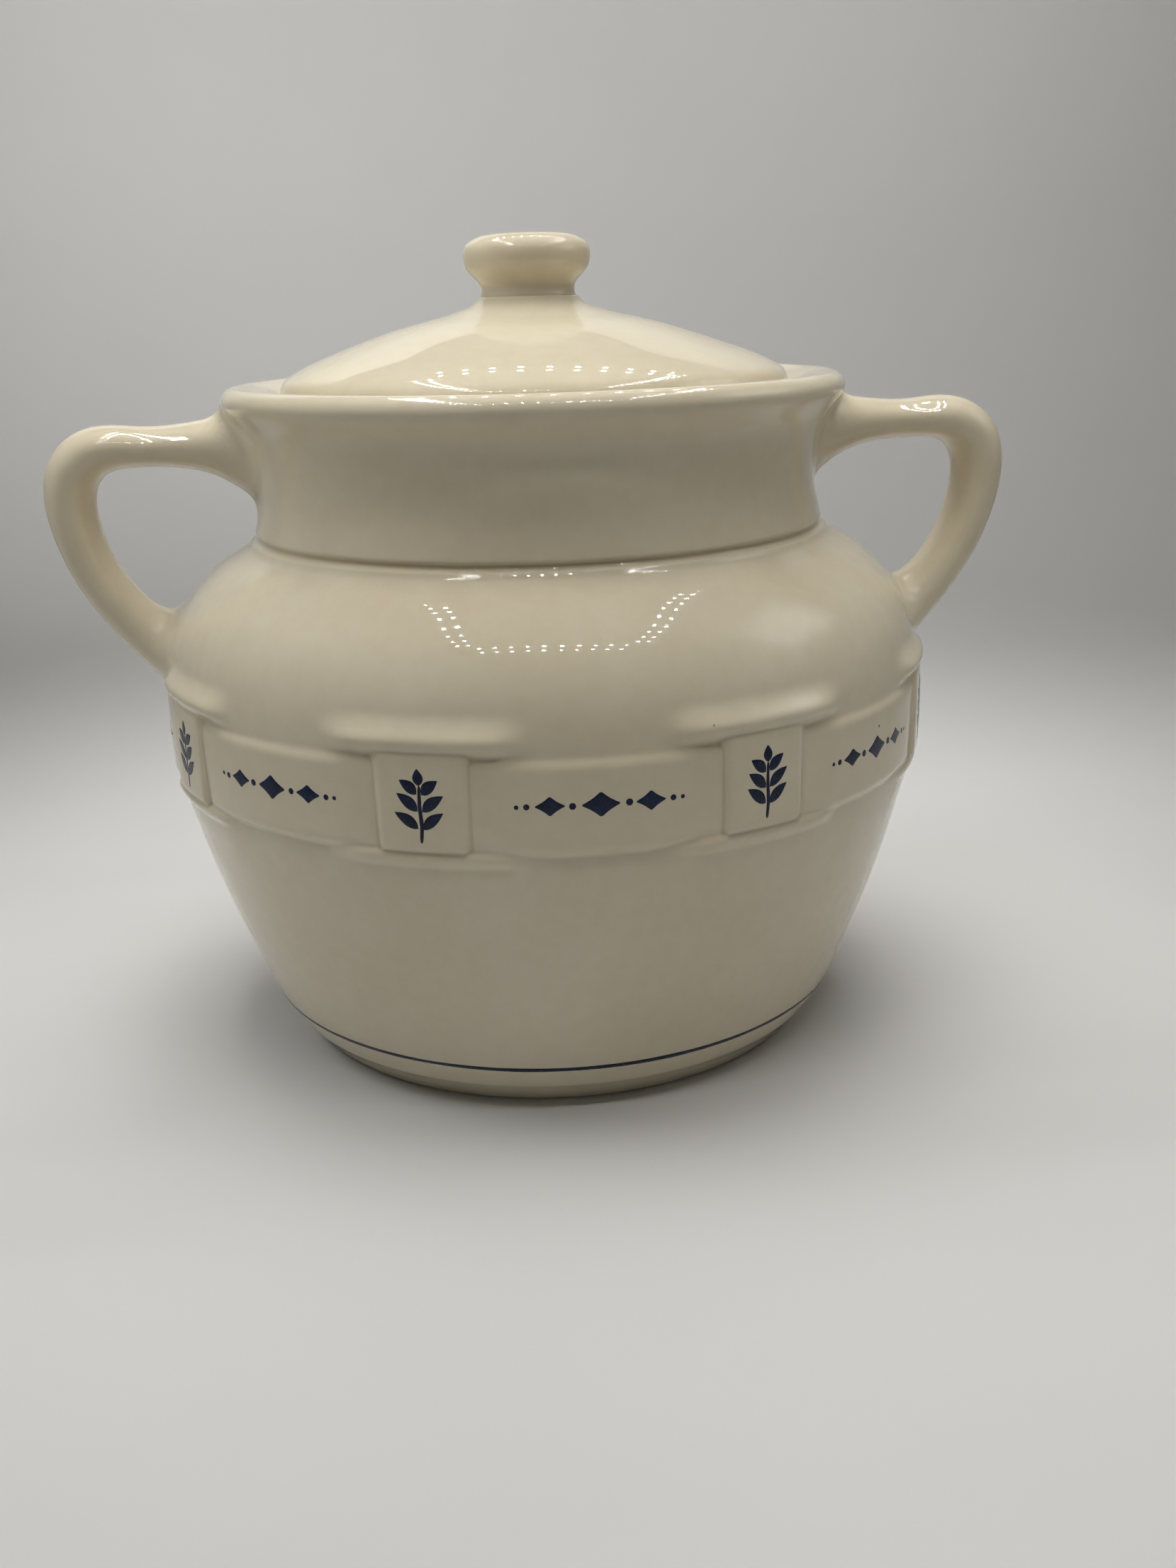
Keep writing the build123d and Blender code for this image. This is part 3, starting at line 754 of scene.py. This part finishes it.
# the painted line above the foot
line_phi = np.arange(720) * TAU / 720
line_w = 0.62 + 0.05 * np.sin(4 * line_phi + 1) + 0.035 * np.sin(13 * line_phi) + 0.02 * np.sin(29 * line_phi + 2)
line_z = 13.45 + 0.10 * np.sin(2 * line_phi + 0.5) + 0.05 * np.sin(5 * line_phi)
lanes = [(-1.0, -0.12), (-1.0, 0.015), (-0.8, 0.045), (0.0, 0.05), (0.8, 0.045), (1.0, 0.015), (1.0, -0.12)]
ring = np.stack([on_wall(line_phi, line_z + line_w * k, np.full(720, h)) for k, h in lanes])
m = len(lanes)
i, j = np.meshgrid(np.arange(m), np.arange(720), indexing="ij")
a, b = i * 720 + j, i * 720 + (j + 1) % 720
c, d = ((i + 1) % m) * 720 + (j + 1) % 720, ((i + 1) % m) * 720 + j
stripe = make_mesh("stripe_blue", ring.reshape(-1, 3), [np.stack([a, b, c, d], -1).reshape(-1, 4)])


# ---------------------------------------------------------------- materials
def nodes_of(mat):
    mat.use_nodes = True
    return mat.node_tree, mat.node_tree.nodes["Principled BSDF"]


def noise(nt, coord, scale, detail=3.0, rough=0.5, distort=0.0):
    n = nt.nodes.new("ShaderNodeTexNoise")
    n.inputs["Scale"].default_value = scale
    n.inputs["Detail"].default_value = detail
    n.inputs["Roughness"].default_value = rough
    n.inputs["Distortion"].default_value = distort
    nt.links.new(coord, n.inputs["Vector"])
    return n.outputs["Fac"]


def span(nt, value, a, b, c, d):
    n = nt.nodes.new("ShaderNodeMapRange")
    n.interpolation_type = "SMOOTHSTEP"
    for k, v in zip(("From Min", "From Max", "To Min", "To Max"), (a, b, c, d)):
        n.inputs[k].default_value = v
    nt.links.new(value, n.inputs["Value"])
    return n.outputs["Result"]


def mix(nt, factor, one, two, kind="MIX"):
    n = nt.nodes.new("ShaderNodeMix")
    n.data_type = "RGBA"
    n.blend_type = kind
    if isinstance(factor, float):
        n.inputs[0].default_value = factor
    else:
        nt.links.new(factor, n.inputs[0])
    for socket, v in ((n.inputs[6], one), (n.inputs[7], two)):
        if isinstance(v, tuple):
            socket.default_value = (*v, 1.0)
        else:
            nt.links.new(v, socket)
    return n.outputs[2]


def bump(nt, bsdf, *layers):
    """layers: (height socket, distance in m)."""
    prev = None
    for height, distance in layers:
        n = nt.nodes.new("ShaderNodeBump")
        n.inputs["Strength"].default_value = 1.0
        n.inputs["Distance"].default_value = distance
        nt.links.new(height, n.inputs["Height"])
        if prev:
            nt.links.new(prev, n.inputs["Normal"])
        prev = n.outputs["Normal"]
    nt.links.new(prev, bsdf.inputs["Normal"])
    return prev


def glaze(name, pale, warm, deep):
    """Ivory glaze over a cream body: darker in hollows, partly pooled glaze and partly painted shade in creases and
    grooves, thinner on edges, with small iron specks.
    """
    mat = bpy.data.materials.new(name)
    nt, bsdf = nodes_of(mat)
    co = nt.nodes.new("ShaderNodeTexCoord").outputs["Object"]
    cloud = span(nt, noise(nt, co, 16, 3, 0.55), 0.3, 0.7, 0.0, 1.0)
    colour = mix(nt, cloud, pale, warm)
    mottle = span(nt, noise(nt, co, 240, 4, 0.6), 0.35, 0.65, 0.0, 1.0)
    colour = mix(nt, 0.05, colour, mix(nt, mottle, (0.52, 0.47, 0.36), (0.86, 0.83, 0.74)))
    attr = nt.nodes.new("ShaderNodeAttribute")
    attr.attribute_name = "hollow"
    # painted shade: hollows, creases and grooves darkened towards the deep colour, partly for glaze pooling and partly
    # for the shade that falls there
    pooled_glaze_and_shade = span(nt, attr.outputs["Fac"], 0.05, 0.9, 0.0, 0.42)
    colour = mix(nt, pooled_glaze_and_shade, colour, deep)
    edge = span(nt, attr.outputs["Fac"], -0.25, -1.2, 0.0, 0.16)
    colour = mix(nt, edge, colour, (0.80, 0.72, 0.56))
    cells = nt.nodes.new("ShaderNodeTexVoronoi")
    cells.inputs["Scale"].default_value = 105.0
    cells.inputs["Randomness"].default_value = 1.0
    nt.links.new(co, cells.inputs["Vector"])
    near = span(nt, cells.outputs["Distance"], 0.030, 0.052, 1.0, 0.0)
    pick = nt.nodes.new("ShaderNodeSeparateColor")
    nt.links.new(cells.outputs["Color"], pick.inputs["Color"])
    few = span(nt, pick.outputs["Red"], 0.955, 0.965, 0.0, 0.85)
    both = nt.nodes.new("ShaderNodeMath")
    both.operation = "MULTIPLY"
    nt.links.new(near, both.inputs[0])
    nt.links.new(few, both.inputs[1])
    colour = mix(nt, both.outputs[0], colour, (0.10, 0.07, 0.045))
    nt.links.new(colour, bsdf.inputs["Base Color"])
    nt.links.new(span(nt, noise(nt, co, 60, 3, 0.6), 0.3, 0.7, 0.20, 0.28), bsdf.inputs["Roughness"])
    bsdf.inputs["Specular IOR Level"].default_value = 0.0
    bsdf.inputs["IOR"].default_value = 1.5
    bsdf.inputs["Coat Weight"].default_value = 1.0
    bsdf.inputs["Coat Roughness"].default_value = 0.03
    bsdf.inputs["Coat IOR"].default_value = 1.5
    bump(nt, bsdf, (noise(nt, co, 95, 2, 0.5), 0.00012), (noise(nt, co, 520, 2, 0.5), 0.000012))
    return mat


def stain(name, dark, light):
    """Cobalt-like blue painted under the glaze: denser where the brush paused."""
    mat = bpy.data.materials.new(name)
    nt, bsdf = nodes_of(mat)
    co = nt.nodes.new("ShaderNodeTexCoord").outputs["Object"]
    wash = span(nt, noise(nt, co, 210, 4, 0.6), 0.35, 0.72, 0.0, 1.0)
    colour = mix(nt, wash, dark, light)
    grains = span(nt, noise(nt, co, 1900, 2, 0.5), 0.55, 0.8, 0.0, 0.35)
    colour = mix(nt, grains, colour, (0.03, 0.055, 0.15))
    nt.links.new(colour, bsdf.inputs["Base Color"])
    nt.links.new(span(nt, noise(nt, co, 300, 3, 0.6), 0.3, 0.7, 0.2, 0.32), bsdf.inputs["Roughness"])
    bsdf.inputs["Specular IOR Level"].default_value = 0.1
    bsdf.inputs["Coat Weight"].default_value = 0.4
    bsdf.inputs["Coat Roughness"].default_value = 0.04
    bump(nt, bsdf, (noise(nt, co, 420, 2, 0.5), 0.00002))
    return mat


def bare(name):
    """Unglazed buff stoneware, slightly gritty and stained by use."""
    mat = bpy.data.materials.new(name)
    nt, bsdf = nodes_of(mat)
    co = nt.nodes.new("ShaderNodeTexCoord").outputs["Object"]
    colour = mix(nt, span(nt, noise(nt, co, 120, 4, 0.6), 0.3, 0.7, 0.0, 1.0), (0.56, 0.47, 0.35), (0.40, 0.32, 0.22))
    grit = span(nt, noise(nt, co, 2400, 2, 0.5), 0.6, 0.75, 0.0, 0.6)
    colour = mix(nt, grit, colour, (0.22, 0.16, 0.10))
    nt.links.new(colour, bsdf.inputs["Base Color"])
    nt.links.new(span(nt, noise(nt, co, 900, 2, 0.5), 0.3, 0.7, 0.78, 0.92), bsdf.inputs["Roughness"])
    bump(nt, bsdf, (noise(nt, co, 1500, 3, 0.6), 0.00005))
    return mat


# the last colour is the darker tone of hollows: partly pooled glaze, partly painted shade
ivory = glaze("ivory_glaze", (0.690, 0.622, 0.470), (0.645, 0.570, 0.412), (0.47, 0.385, 0.235))
navy = stain("blue_decor", (0.004, 0.009, 0.028), (0.008, 0.018, 0.058))
clay = bare("bare_stoneware")

for obj, body, stands_for, slot, mat in (
    (pot, "pot", ("pot_base", "lower_wall", "belly_wall", "shoulder", "neck_rim", "woven_band"), "ivory_glaze", ivory),
    (handle_left, "pot", ("handle_left",), "ivory_glaze", ivory),
    (handle_right, "pot", ("handle_right",), "ivory_glaze", ivory),
    (lid, "lid", ("lid",), "ivory_glaze", ivory),
    (knob, "lid", ("lid_knob",), "ivory_glaze", ivory),
    (foot, "pot", (), "bare_stoneware", clay),
    (stripe, "pot", (), "blue_decor", navy),
    (sprigs, "pot", (), "blue_decor", navy),
    (chains, "pot", (), "blue_decor", navy),
):
    obj.data.materials.append(mat)
    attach(obj, body)
    if stands_for:
        present = [n for n in stands_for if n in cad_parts]
        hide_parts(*present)

# ---------------------------------------------------------------- floor and backdrop
def stage_mesh():
    """A floor that sweeps up all round into a plain wall, wide enough for every view."""
    flat, bend, high = 640.0, 450.0, 450.0
    half_turn = math.pi / 4
    path = join(line((1, 0), (flat, 0)), arc((flat, 0), (flat + bend * math.sin(half_turn), bend * (1 - math.cos(half_turn))), (flat + bend, bend)),
                line((flat + bend, bend), (flat + bend, bend + high)))
    path = even(path, 22.0)
    a = np.arange(160) * TAU / 160
    g = np.stack([path[:, :1] * np.cos(a), path[:, :1] * np.sin(a), path[:, 1:] + 0 * a], -1)
    pts = np.concatenate([g.reshape(-1, 3), [[0, 0, 0]]])
    return make_mesh("floor_sweep", pts, [ring_faces(len(g), 160)[:, ::-1], fan(len(g) * 160, np.arange(160), False)])


floor = stage_mesh()
paper = bpy.data.materials.new("pale_sweep")
nt, bsdf = nodes_of(paper)
co = nt.nodes.new("ShaderNodeTexCoord").outputs["Object"]
nt.links.new(mix(nt, noise(nt, co, 9, 3, 0.5), (0.675, 0.671, 0.66), (0.705, 0.70, 0.688)), bsdf.inputs["Base Color"])
bsdf.inputs["Roughness"].default_value = 0.7
bsdf.inputs["Specular IOR Level"].default_value = 0.25
floor.data.materials.append(paper)

# ---------------------------------------------------------------- camera
yaw, pitch, roll = math.radians(6.713), math.radians(-17.5055), math.radians(-1.648)
forward = Vector((math.sin(yaw) * math.cos(pitch), math.cos(yaw) * math.cos(pitch), math.sin(pitch)))
right = Vector((math.cos(yaw), -math.sin(yaw), 0.0))
up = right.cross(forward)
right2 = right * math.cos(roll) + up * math.sin(roll)
up2 = -right * math.sin(roll) + up * math.cos(roll)
cam_data = bpy.data.cameras.new("camera")
cam_data.sensor_fit = "VERTICAL"
cam_data.sensor_width = 36.0
cam_data.sensor_height = 36.0
cam_data.lens = 35.384
cam_data.clip_start = 0.02
cam_data.clip_end = 20.0
camera = bpy.data.objects.new("camera", cam_data)
bpy.context.scene.collection.objects.link(camera)
m = Matrix.Identity(4)
for k, v in enumerate((right2, up2, -forward)):
    for q in range(3):
        m[q][k] = v[q]
m[0][3], m[1][3], m[2][3] = -0.03909, -0.42948, 0.19828
camera.matrix_world = m
bpy.context.scene.camera = camera


# ---------------------------------------------------------------- light
def area(name, place, target, size, power, colour=(1, 1, 1), size_y=None, cone=180):
    data = bpy.data.lights.new(name, "AREA")
    data.spread = math.radians(cone)
    data.shape = "RECTANGLE" if size_y else "SQUARE"
    data.size = size
    if size_y:
        data.size_y = size_y
    data.energy = power
    data.color = colour
    obj = bpy.data.objects.new(name, data)
    bpy.context.scene.collection.objects.link(obj)
    obj.location = place
    obj.rotation_mode = "QUATERNION"
    obj.rotation_quaternion = (Vector(target) - Vector(place)).to_track_quat("-Z", "Y")
    obj.visible_camera = False
    return obj


# A small white light tent: a frame of bright dots and a pale ceiling above, softly lit sides, and a dim
# front where the camera stands. It is turned with the camera.
TURN = math.radians(6.713)
ACROSS = Vector((math.cos(TURN), -math.sin(TURN), 0.0))
BACK = Vector((math.sin(TURN), math.cos(TURN), 0.0))


def tent(across, back, height):
    return ACROSS * across + BACK * back + Vector((0.0, 0.0, height))


def soften(obj, inner):
    """Fades an area light from its middle to its edges."""
    obj.data.use_nodes = True
    nt = obj.data.node_tree
    emission = nt.nodes["Emission"]
    uv = nt.nodes.new("ShaderNodeTexCoord").outputs["UV"]
    parts = nt.nodes.new("ShaderNodeSeparateXYZ")
    nt.links.new(uv, parts.inputs["Vector"])
    sides = []
    for axis in ("X", "Y"):
        shifted = nt.nodes.new("ShaderNodeMath")
        shifted.operation = "SUBTRACT"
        shifted.inputs[1].default_value = 0.5
        nt.links.new(parts.outputs[axis], shifted.inputs[0])
        away = nt.nodes.new("ShaderNodeMath")
        away.operation = "ABSOLUTE"
        nt.links.new(shifted.outputs[0], away.inputs[0])
        sides.append(span(nt, away.outputs[0], inner / 2, 0.5, 1.0, 0.0))
    both = nt.nodes.new("ShaderNodeMath")
    both.operation = "MULTIPLY"
    nt.links.new(sides[0], both.inputs[0])
    nt.links.new(sides[1], both.inputs[1])
    nt.links.new(both.outputs[0], emission.inputs["Strength"])


LED_Z = 0.60
LEFT, RIGHT, FRONT, REAR = -0.172, 0.234, -0.322, 0.300
LED_POWER = 0.024
led_number = 0
for row in (-1, 1):
    spots = []
    for k in range(10):
        u = LEFT + 0.034 + (RIGHT - LEFT - 0.068) * k / 9
        spots += [(u, FRONT + 0.021 * row), (u, REAR + 0.021 * row)]
    for k in range(13):
        v = FRONT + 0.056 + (REAR - FRONT - 0.112) * k / 12
        spots += [(LEFT + 0.014 * row, v), (RIGHT + 0.014 * row, v)]
    for u, v in spots:
        led = area("led_%03d" % led_number, tent(u, v, LED_Z), tent(u, v, 0.0), 0.0065, LED_POWER, (1.0, 0.985, 0.96), None, 130)
        led.visible_diffuse = False
        led_number += 1
for name, u, v, width, depth, power in (("strip_front", 0.031, FRONT, 0.42, 0.03, 0.46), ("strip_rear", 0.031, REAR, 0.42, 0.03, 0.54),
                                        ("strip_left", LEFT, 0.015, 0.03, 0.50, 0.28), ("strip_right", RIGHT, 0.015, 0.03, 0.50, 0.21)):
    strip = area(name, tent(u, v, LED_Z + 0.004), tent(u, v, 0.0), width, power, (1.0, 0.985, 0.96), depth, 130)
    strip.visible_glossy = False

ceiling = area("ceiling", tent(0.031, 0.015, LED_Z + 0.012), tent(0.031, 0.015, 0.0), 0.42, 0.56, (1.0, 0.99, 0.97), 0.56, 78)
soften(ceiling, 0.8)
ceiling.visible_glossy = False
sheen = area("sheen_top", tent(0.031, 0.015, LED_Z + 0.020), tent(0.031, 0.015, 0.0), 0.46, 0.13, (1.0, 0.99, 0.97), 0.62)
soften(sheen, 0.4)
side_left = area("side_left", tent(-0.36, -0.02, 0.37), tent(0.0, -0.02, 0.20), 0.34, 0.92, (0.97, 0.98, 1.0), 0.26, 140)
soften(side_left, 0.2)
side_left.visible_glossy = False
card_left = area("card_left", tent(-0.36, -0.02, 0.37), tent(0.0, -0.02, 0.20), 0.34, 0.25, (0.97, 0.98, 1.0), 0.26, 140)
soften(card_left, 0.3)
card_right = area("card_right", tent(0.36, -0.03, 0.36), tent(0.0, -0.03, 0.20), 0.30, 0.21, (1.0, 0.99, 0.97), 0.24, 140)
soften(card_right, 0.3)
for name, direction, power in (("wash_rear", BACK, 2.15), ("wash_left", -ACROSS, 0.18), ("wash_right", ACROSS, 0.18), ("wash_front", -BACK, 0.07)):
    area(name, direction * 0.60 + Vector((0, 0, 1.0)), direction * 1.10 + Vector((0, 0, 0.45)), 1.0, power, (1.0, 0.99, 0.97), 0.25, 110)
area("wash_corner", BACK * 0.70 - ACROSS * 0.42 + Vector((0, 0, 1.15)), BACK * 1.0 - ACROSS * 0.55 + Vector((0, 0, 0.55)), 0.4, 0.68, (1.0, 0.99, 0.97), 0.12, 80)

world = bpy.data.worlds.new("studio")
bpy.context.scene.world = world
world.use_nodes = True
world.node_tree.nodes["Background"].inputs["Color"].default_value = (0.86, 0.86, 0.86, 1.0)
world.node_tree.nodes["Background"].inputs["Strength"].default_value = 0.014

bpy.context.scene.view_settings.view_transform = "Standard"
bpy.context.scene.view_settings.look = "None"
bpy.context.scene.view_settings.exposure = 0.0

print("columns", COLS, "rows", rows, "faces", {o.name: len(o.data.polygons) for o in (pot, handle_right, lid, knob, sprigs, chains, stripe, foot)})
